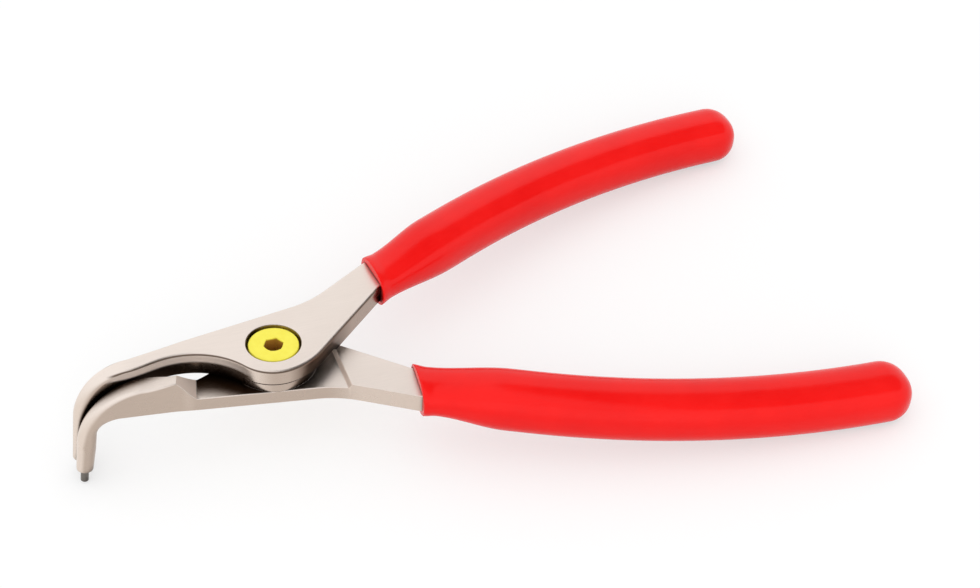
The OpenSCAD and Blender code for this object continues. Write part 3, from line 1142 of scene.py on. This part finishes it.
    def build(self) -> None:
        """Builds the lever's mesh."""
        rings = [station.ring(self.side.sign) for station in self.plate() + self.nose()]
        self.piece = skin(f"{self.side.value}_lever_body", rings)
        for tool, how in self.tools() + [(self.bore.tool(self.leg, self.plan, self.side.sign), Cut.REMOVE)]:
            carve(self.piece, tool, how)
        smooth(self.piece)

    def dress(self, finish: Finish) -> None:
        """Gives the lever its finish and puts it in the place of its solid.

        Args:
            finish: The material.
        """
        paint(self.piece, finish)
        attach(self.piece, self.side.body)
        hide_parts(f"{self.side.value}_lever")


@dataclass
class UpperLever(Lever):
    """The lever on top, with the screw's recess and the relief that clears the lower lever's pad."""

    relief_r: float = 9.62
    relief_least: float = 0.01
    recess_r: float = 6.1
    seat_z: float = 2.9
    seat_edge: float = 0.15
    rim: float = 0.2
    bore_r: float = 3.63
    wire_hole: Span = (0.0, -5.9)
    wire_hole_top: float = 2.2

    def levels(self, x: float) -> tuple[float, float]:
        """Top and bottom of the plate at x, before the relief is cut."""
        return self.thick, self.gap if x > 0 else self.gap - self.lap

    def relief_tool(self) -> Solid:
        """Tool for the relief: round on the jaw's side, open to the shoulder on the handle's side.

        Returns:
            The tool.
        """
        wide, deep = 3 * self.relief_r, -2 * self.thick
        spans = [(-self.relief_r * cos(a), max(self.relief_least, self.relief_r * sin(a)), self.lap)
                 for a in range(0, 91, 3)]
        spans += [(0.0, wide, self.lap), (self.shoulder, wide, self.lap),
                  (self.shoulder + self.shoulder_l, wide, 0.0)]
        return prism("relief", [(x, (-y, y), (deep, z)) for x, y, z in spans])

    def tools(self) -> list[Tool]:
        """Tools for the relief, the screw's recess and bore, and the hole for the spring's upper end.

        Returns:
            The tools and what each does.
        """
        foot = [(self.recess_r - self.seat_edge, self.seat_z), (self.recess_r, self.seat_z + self.seat_edge)]
        mouth = rounded(self.recess_r, self.thick, self.rim, way=1)
        mouth.append((self.recess_r + self.rim, self.thick + OVER))
        bore = rod("bore", self.bore_r, (-self.thick, self.thick), sides=64)
        return [(self.relief_tool(), Cut.REMOVE), (lathe("recess", foot + mouth, sides=96), Cut.REMOVE),
                (bore, Cut.REMOVE), self.wire_tool(self.wire_hole, (0.0, self.wire_hole_top))]


@dataclass
class LowerLever(Lever):
    """The lever below, with the round pad that carries the upper one and the spring's pocket."""

    pad_r: float = 9.5
    pad_top: float = 1.05
    pad_fillet: float = 0.06
    pad_rim: float = 0.3
    pad_trim: float = 0.02
    pad_reach: float = 1.4
    pad_pitch: float = 0.4
    thread_r: float = 3.02
    thread_rim: float = 0.35
    pocket: Span = (4.8, 7.0)
    pocket_floor: float = -2.1
    wire_hole: Span = (0.0, 5.9)
    wire_hole_low: float = -3.25
    wire_hole_past: float = 0.5

    def levels(self, x: float) -> tuple[float, float]:
        """Top and bottom of the plate at x, with the slope at the shoulder."""
        return mix(-self.lap, -self.gap, ease((x - self.shoulder) / self.shoulder_l)), -self.thick

    def pad_tool(self) -> Solid:
        """Makes the pad with the fillet at its foot, kept inside the lever's outline.

        Returns:
            The tool.
        """
        reach = self.pad_r + self.pad_fillet
        foot = [(reach - self.pad_fillet * sin(a), self.pad_fillet * (1 - cos(a)) - self.lap)
                for a in range(0, 91, 15)]
        rim = [(self.pad_r, self.pad_top - self.pad_rim), (self.pad_r - self.pad_rim, self.pad_top)]
        pad = lathe("pad", [(reach, -self.lap - OVER)] + foot + rim, sides=96)
        wide = self.pad_reach * self.pad_r
        outline = []
        for x in spaced(-wide, wide, self.pad_pitch):
            sides = (self.pad_trim - self.plan.outer_y(x), -self.plan.inner_y(x) - self.pad_trim)
            outline.append((x, sides, (-self.thick, self.thick)))
        carve(pad, prism("outline", outline), Cut.KEEP)
        return pad

    def tools(self) -> list[Tool]:
        """Tools for the pad, the screw's hole, the spring's pocket and the hole for its lower end.

        Returns:
            The tools and what each does.
        """
        low, mouth_r = -self.thick, self.thread_r + self.thread_rim
        screw = lathe("screw hole", [(mouth_r, low - OVER), (mouth_r, low),
                                     (self.thread_r, low + self.thread_rim), (self.thread_r, self.thick)],
                      sides=64)
        pocket = rod("pocket", self.pocket[1], (self.pocket_floor, self.thick), sides=64)
        core = rod("core", self.pocket[0], (self.pocket_floor - OVER, self.thick + OVER), sides=64)
        carve(pocket, core, Cut.REMOVE)
        wire = self.wire_tool(self.wire_hole, (self.wire_hole_low, self.pocket_floor + self.wire_hole_past))
        return [(self.pad_tool(), Cut.ADD), (screw, Cut.REMOVE), (pocket, Cut.REMOVE), wire]


@dataclass
class Grip:
    """A dipped sleeve on a lever's tang."""

    side: Side
    line: HandleLine = HandleLine()
    width: float = 13.9
    height: float = 12.0
    square: float = 2.4
    mouth_x: float = 27.9
    mouth_slant: float = 0.37
    lip_out: float = 0.3
    lip_l: float = 3.0
    lip_edge: float = 0.15
    lip_turns: tuple[int, ...] = (0, 30, 60, 90)
    lip_steps: int = 6
    neck_in: float = 1.1
    neck_thin: float = 1.9
    neck_l: float = 20.0
    neck_steps: int = 14
    body_pitch: float = 3.0
    dome_l: float = 6.0
    dome_share: float = 0.85
    dome_turn: float = 88.0
    dome_steps: int = 14
    end_shares: Span = (0.1, 0.05)
    bore_w: float = 9.1
    bore_h: float = 4.7
    bore_square: float = 14.0
    bore_end: float = 31.9
    bore_pitch: float = 5.0
    bore_run: float = 6.0
    bore_places: tuple[float, ...] = (4.0, 2.0, 0.5)
    bore_flare: float = 0.02
    level: float = 2.3
    sides: int = 64
    piece: Solid | None = None

    @property
    def mouth_s(self) -> float:
        """Length along the handle's middle line at which the mouth lies."""
        return (self.mouth_x + self.line.offset * sin(self.line.angle)) / cos(self.line.angle)

    def ring(self, s: float, half_w: float, half_h: float, slant: float, square: float) -> Ring:
        """Points round the grip.

        Args:
            s: Length along the handle's middle line.
            half_w: Half the width.
            half_h: Half the height.
            slant: How far the ring leans forward on its outer side.
            square: Squareness of the oval, where 2 is an ellipse.

        Returns:
            The points in order.
        """
        points = []
        for i in range(self.sides):
            turn = 360 * (i + 0.5) / self.sides
            c, k = cos(turn), sin(turn)
            v = half_w * math.copysign(abs(c) ** (2 / square), c)
            z = half_h * math.copysign(abs(k) ** (2 / square), k)
            at = s + v * slant
            p = self.line.point(at) + v * left(self.line.heading(at))
            points.append(Vector((p.x, self.side.sign * p.y, self.side.sign * self.level + z)))
        return points

    def bore_rings(self) -> list[Ring]:
        """Rings of the bore, from its closed end to the mouth.

        Returns:
            The rings.
        """
        a, b, mouth, square = self.bore_w / 2, self.bore_h / 2, self.mouth_s, self.bore_square
        rings = [self.ring(s, a, b, 0, square)
                 for s in spaced(self.line.length - self.bore_end, mouth + self.bore_run, self.bore_pitch)]
        rings += [self.ring(mouth + s, a, b, self.mouth_slant * (1 - s / self.bore_run), square)
                  for s in self.bore_places]
        rings.append(self.ring(mouth, a + self.bore_flare, b + self.bore_flare, self.mouth_slant, square))
        return rings

    def neck_rings(self) -> list[Ring]:
        """Rings of the rounded lip and of the neck behind it.

        Returns:
            The rings.
        """
        mouth, slant, square = self.mouth_s, self.mouth_slant, self.square
        neck_a, neck_b = self.width / 2 - self.neck_in, self.height / 2 - self.neck_thin
        lip_a, lip_b = neck_a + self.lip_out, neck_b + self.lip_out
        rings = []
        for turn in self.lip_turns:
            inset = self.lip_edge * (1 - sin(turn))
            rings.append(self.ring(mouth + self.lip_edge * (1 - cos(turn)), lip_a - inset, lip_b - inset,
                                   slant, square))
        for t in shares(self.lip_steps):
            sink = self.lip_out * ease(t)
            rings.append(self.ring(mouth + mix(self.lip_edge, self.lip_l, t), lip_a - sink, lip_b - sink,
                                   slant, square))
        for t in shares(self.neck_steps):
            rings.append(self.ring(mouth + mix(self.lip_l, self.neck_l, t), neck_a + self.neck_in * ease(t),
                                   neck_b + self.neck_thin * ease(t), slant * (1 - t), square))
        return rings

    def body_rings(self) -> list[Ring]:
        """Rings of the body and of its rounded end.

        Returns:
            The rings.
        """
        a, b, end = self.width / 2, self.height / 2, self.line.length - self.dome_l
        places = spaced(self.mouth_s + self.neck_l, end, self.body_pitch)[1:]
        rings = [self.ring(s, a, b, 0, self.square) for s in places]
        for t in [0.0] + shares(self.dome_steps):
            turn = self.dome_turn * t
            k = mix(1, cos(turn), self.dome_share)
            rings.append(self.ring(end + self.dome_l * sin(turn), a * k, b * k, 0, self.square))
        ends = [self.ring(self.line.length, a * k, b * k, slant=0, square=2.0) for k in self.end_shares]
        return rings + ends

    def build(self) -> None:
        """Builds the sleeve: its bore, the rounded lip, the neck, the body and the rounded end."""
        rings = self.bore_rings() + self.neck_rings() + self.body_rings()
        self.piece = skin(f"{self.side.value}_grip_sleeve", rings)
        smooth(self.piece, crease=50.0)

    def dress(self, finish: Finish) -> None:
        """Gives the grip its finish and puts it in the place of its solid.

        Args:
            finish: The material.
        """
        paint(self.piece, finish)
        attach(self.piece, self.side.body)
        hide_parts(f"{self.side.value}_grip")


@dataclass
class PivotScrew:
    """The shouldered screw that joins the levers, with a hex socket in its head."""

    head_r: float = 5.6
    head_top: float = 4.25
    seat_z: float = 2.92
    edge: float = 0.3
    shank_r: float = 3.6
    thread_r: float = 3.0
    ledge_z: float = 1.07
    end_z: float = -4.2
    end_chamfer: float = 0.4
    socket_af: float = 4.0
    socket_floor: float = 0.0
    bevel: float = 0.2
    piece: Solid | None = None

    def build(self) -> None:
        """Builds the screw's mesh."""
        body = [(self.thread_r - self.end_chamfer, self.end_z),
                (self.thread_r, self.end_z + self.end_chamfer), (self.thread_r, self.ledge_z),
                (self.shank_r, self.ledge_z), (self.shank_r, self.seat_z), (self.head_r, self.seat_z)]
        head = rounded(self.head_r, self.head_top, self.edge, way=-1)
        self.piece = lathe("pivot_screw_body", body + head, sides=96)
        r, top = self.socket_af / 2, self.head_top
        socket = rod("socket", r / cos(30), (self.socket_floor, 2 * top), sides=6)
        mouth = lathe("socket mouth", [(r, top - self.bevel), (r + self.bevel + OVER, top + OVER)], sides=48)
        carve(self.piece, socket, Cut.REMOVE)
        carve(self.piece, mouth, Cut.REMOVE)
        smooth(self.piece)

    def dress(self, finish: Finish) -> None:
        """Gives the screw its finish and puts it in the place of its solid.

        Args:
            finish: The material.
        """
        paint(self.piece, finish)
        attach(self.piece, Side.LOWER.body)
        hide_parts("pivot_screw")


@dataclass
class ReturnSpring:
    """The torsion spring hidden round the screw, with one end in each lever."""

    wire_d: float = 0.8
    coil_r: float = 5.9
    turns: float = 2.5
    pitch: float = 0.9
    leg_l: float = 1.0
    low_z: float = -1.65
    start: float = 90.0
    turn_steps: int = 40
    sides: int = 12
    piece: Solid | None = None

    def ring(self, point: Vector, along: Vector) -> Ring:
        """Points round the wire.

        Args:
            point: Middle of the wire.
            along: Direction of the wire.

        Returns:
            The points in order.
        """
        out = Vector((point.x, point.y, 0)).normalized()
        up = along.cross(out)
        turns = [360 * i / self.sides for i in range(self.sides)]
        return [point + self.wire_d / 2 * (cos(a) * out + sin(a) * up) for a in turns]

    def build(self) -> None:
        """Builds the spring's mesh."""
        up, half = Vector((0, 0, 1)), self.wire_d / 2
        path = []
        for i in range(round(self.turns * self.turn_steps) + 1):
            turn = self.start + 360 * i / self.turn_steps
            path.append(Vector((self.coil_r * cos(turn), self.coil_r * sin(turn),
                                self.low_z + self.pitch * i / self.turn_steps)))
        rings = [self.ring(path[0] - up * (self.leg_l + half), up), self.ring(path[0] - up * half, up)]
        rings += [self.ring(p, Vector((-p.y, p.x, 0)).normalized()) for p in path[2:-2]]
        rings += [self.ring(path[-1] + up * half, up), self.ring(path[-1] + up * (self.leg_l + half), up)]
        self.piece = skin("return_spring_wire", rings)
        smooth(self.piece, crease=50.0)

    def dress(self, finish: Finish) -> None:
        """Gives the spring its finish, bakes its place into its mesh and hides its imported solid.

        Args:
            finish: The material.
        """
        paint(self.piece, finish)
        low = (self.low_z - self.wire_d / 2) * MM
        high = (self.low_z + self.turns * self.pitch + self.wire_d / 2) * MM
        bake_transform(self.piece, Side.LOWER.body, Side.UPPER.body, start=(0, 0, low), end=(0, 0, high))
        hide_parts("return_spring")


@dataclass
class TipPins:
    """The two pins in the legs' ends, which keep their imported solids."""

    nodes: tuple[str, str] = ("upper_tip", "lower_tip")

    def dress(self, finish: Finish) -> None:
        """Gives the pins their finish."""
        for node in self.nodes:
            paint(bpy.data.objects[node], finish)


@dataclass
class Studio:
    """Camera, lamp, world, the pale floor that the pliers lie on and a dark card for reflections."""

    target: tuple[float, float, float] = (53.3, 7.05, 0.0)
    azimuth: float = -22.3
    elevation: float = 40.0
    roll: float = 3.59
    distance: float = 484.6
    lens: float = 77.4
    sensor: float = 36.0
    clip: Span = (10.0, 20000.0)
    ambient: float = 0.95
    floor_half: float = 3000.0
    floor_gap: float = 0.3
    floor_tone: float = 0.5
    floor_glow: float = 0.5
    floor_rough: float = 0.9
    grip_rest: float = 12.0
    flag_x: Span = (80.0, 900.0)
    flag_y: Span = (-420.0, 360.0)
    flag_z: float = 550.0
    flag_tone: float = 0.05
    lamp_at: tuple[float, float, float] = (-450.0, -1150.0, 420.0)
    lamp_size: float = 1100.0
    lamp_power: float = 5.4

    def camera(self) -> None:
        """Makes the camera at the photograph's viewing angle."""
        back = Vector((sin(self.azimuth) * cos(self.elevation), -cos(self.azimuth) * cos(self.elevation),
                       sin(self.elevation)))
        data = bpy.data.cameras.new("camera")
        data.lens = self.lens
        data.sensor_width = self.sensor
        data.clip_start, data.clip_end = (distance * MM for distance in self.clip)
        camera = add("camera", data)
        place = Matrix.Translation((Vector(self.target) + self.distance * back) * MM)
        turn = back.to_track_quat("Z", "Y").to_matrix().to_4x4()
        camera.matrix_world = place @ turn @ Matrix.Rotation(math.radians(self.roll), 4, "Z")
        bpy.context.scene.camera = camera

    def seen(self, nodes: Nodes) -> Socket:
        """Value that is 1 for what the camera sees, directly or by reflection.

        Args:
            nodes: The node tree that the value is for.

        Returns:
            The value.
        """
        path = nodes.node("ShaderNodeLightPath", {}).outputs
        direct = nodes.maths("MAXIMUM", path["Is Camera Ray"], path["Is Glossy Ray"])
        return nodes.maths("MAXIMUM", direct, path["Is Transmission Ray"])

    def world(self) -> None:
        """Makes a white backdrop that lights the object only softly."""
        world = bpy.data.worlds.new("studio")
        bpy.context.scene.world = world
        world.use_nodes = True
        nodes = Nodes(world.node_tree)
        light = nodes.tree.nodes["Background"]
        nodes.feed(light.inputs["Color"], (1.0, 1.0, 1.0))
        nodes.feed(light.inputs["Strength"], nodes.span(self.seen(nodes), UP, (self.ambient, 1.0)))

    def sheet(self, name: str, x: Span, y: Span, place: Matrix) -> Solid:
        """Makes a flat sheet.

        Args:
            name: Name of the new object.
            x: Its two ends along its own X.
            y: Its two ends along its own Y.
            place: Matrix that puts it in place, in metres.

        Returns:
            The object, linked to the scene.
        """
        mesh = bpy.data.meshes.new(name)
        corners = [(x[0], y[0]), (x[1], y[0]), (x[1], y[1]), (x[0], y[1])]
        mesh.from_pydata([(u * MM, v * MM, 0.0) for u, v in corners], [], [(0, 1, 2, 3)])
        sheet = add(name, mesh)
        sheet.matrix_world = place
        return sheet

    def glow(self, name: str, tone: float) -> Shader:
        """Starts a matte material that gives off white light.

        Args:
            name: Name of the material.
            tone: Tone of its own grey.

        Returns:
            The material's tree, without the light's strength.
        """
        shader = Shader(name)
        shader.put("Base Color", (tone,) * 3)
        shader.put("Specular IOR Level", 0.0)
        shader.put("Emission Color", (1.0, 1.0, 1.0))
        return shader

    def floor(self) -> None:
        """Makes the pale floor under the tip and both grips."""
        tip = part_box("lower_tip")[0]
        low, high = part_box("lower_grip"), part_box("upper_grip")
        rest = [Vector(tip), Vector((low[1][0] - self.grip_rest * MM, low[0][1], low[0][2])),
                Vector((high[1][0] - self.grip_rest * MM, high[1][1], high[0][2]))]
        normal = (rest[1] - rest[0]).cross(rest[2] - rest[0]).normalized()
        place = (Matrix.Translation(rest[0] - normal * self.floor_gap * MM)
                 @ normal.to_track_quat("Z", "Y").to_matrix().to_4x4())
        reach = (-self.floor_half, self.floor_half)
        floor = self.sheet("floor", reach, reach, place)
        shader = self.glow("pale_floor", self.floor_tone)
        shader.put("Roughness", self.floor_rough)
        shader.put("Emission Strength", shader.maths("MULTIPLY", self.seen(shader), self.floor_glow))
        paint(floor, shader.material)

    def flag(self) -> None:
        """Hangs a dark card above the grips, which only reflections see."""
        card = self.sheet("flag", self.flag_x, self.flag_y, Matrix.Translation((0, 0, self.flag_z * MM)))
        card.visible_camera = card.visible_diffuse = card.visible_shadow = card.visible_transmission = False
        shader = self.glow("grey_card", tone=0.0)
        shader.put("Emission Strength", self.flag_tone)
        paint(card, shader.material)

    def lamp(self) -> None:
        """Adds a soft square lamp that looks at the joint and stays out of reflections."""
        data = bpy.data.lights.new("key", "AREA")
        data.size = self.lamp_size * MM
        data.energy = self.lamp_power
        lamp = add("key", data)
        lamp.visible_glossy = False
        place = Vector(self.lamp_at) * MM
        lamp.matrix_world = Matrix.Translation(place) @ place.to_track_quat("Z", "Y").to_matrix().to_4x4()

    def build(self) -> None:
        """Builds the whole studio."""
        bpy.context.scene.view_settings.view_transform = "Standard"
        self.camera()
        self.world()
        self.floor()
        self.flag()
        self.lamp()


def main() -> None:
    """Builds the pieces in order, dresses them and lights them."""
    logging.basicConfig(level=logging.INFO, format="%(message)s")
    plate, pvc = SatinPlate().material(), DippedPvc().material()
    levers = [
        UpperLever(Side.UPPER, bend_r=13.0, inner_r=6.0, nose_top=4.6, nose_fall=0.0, nose_low=-1.05,
                   nose_soft=(0.7, 0.9, 1.2, 0.4), plate_soft=(0.7, 0.6, 0.35, 0.35)),
        LowerLever(Side.LOWER, bend_r=15.0, inner_r=4.8, nose_top=2.4, nose_fall=0.3, nose_low=-4.6,
                   nose_soft=(0.2, 1.0, 0.7, 0.4), plate_soft=(0.2, 0.3, 0.5, 0.5),
                   plan=LeverPlan(eye_half=1.8, eye_r=24.0, close_x=21.5, nip_x=31.5),
                   nose_bevel=1.5, ridge=0.25, ramp_skew=1.3)]
    pieces = [(lever, plate) for lever in levers]
    pieces += [(Grip(side), pvc) for side in Side]
    pieces += [(PivotScrew(), YellowLacquer().material()),
               (ReturnSpring(), DarkSteel("spring_wire").material())]
    for part, finish in pieces:
        part.build()
        part.dress(finish)
        log.info("%s: %d faces", part.piece.name, len(part.piece.data.polygons))
    TipPins().dress(DarkSteel("pin_steel").material())
    log.info("tip pins dressed")
    Studio().build()


if __name__ == "__main__":
    main()
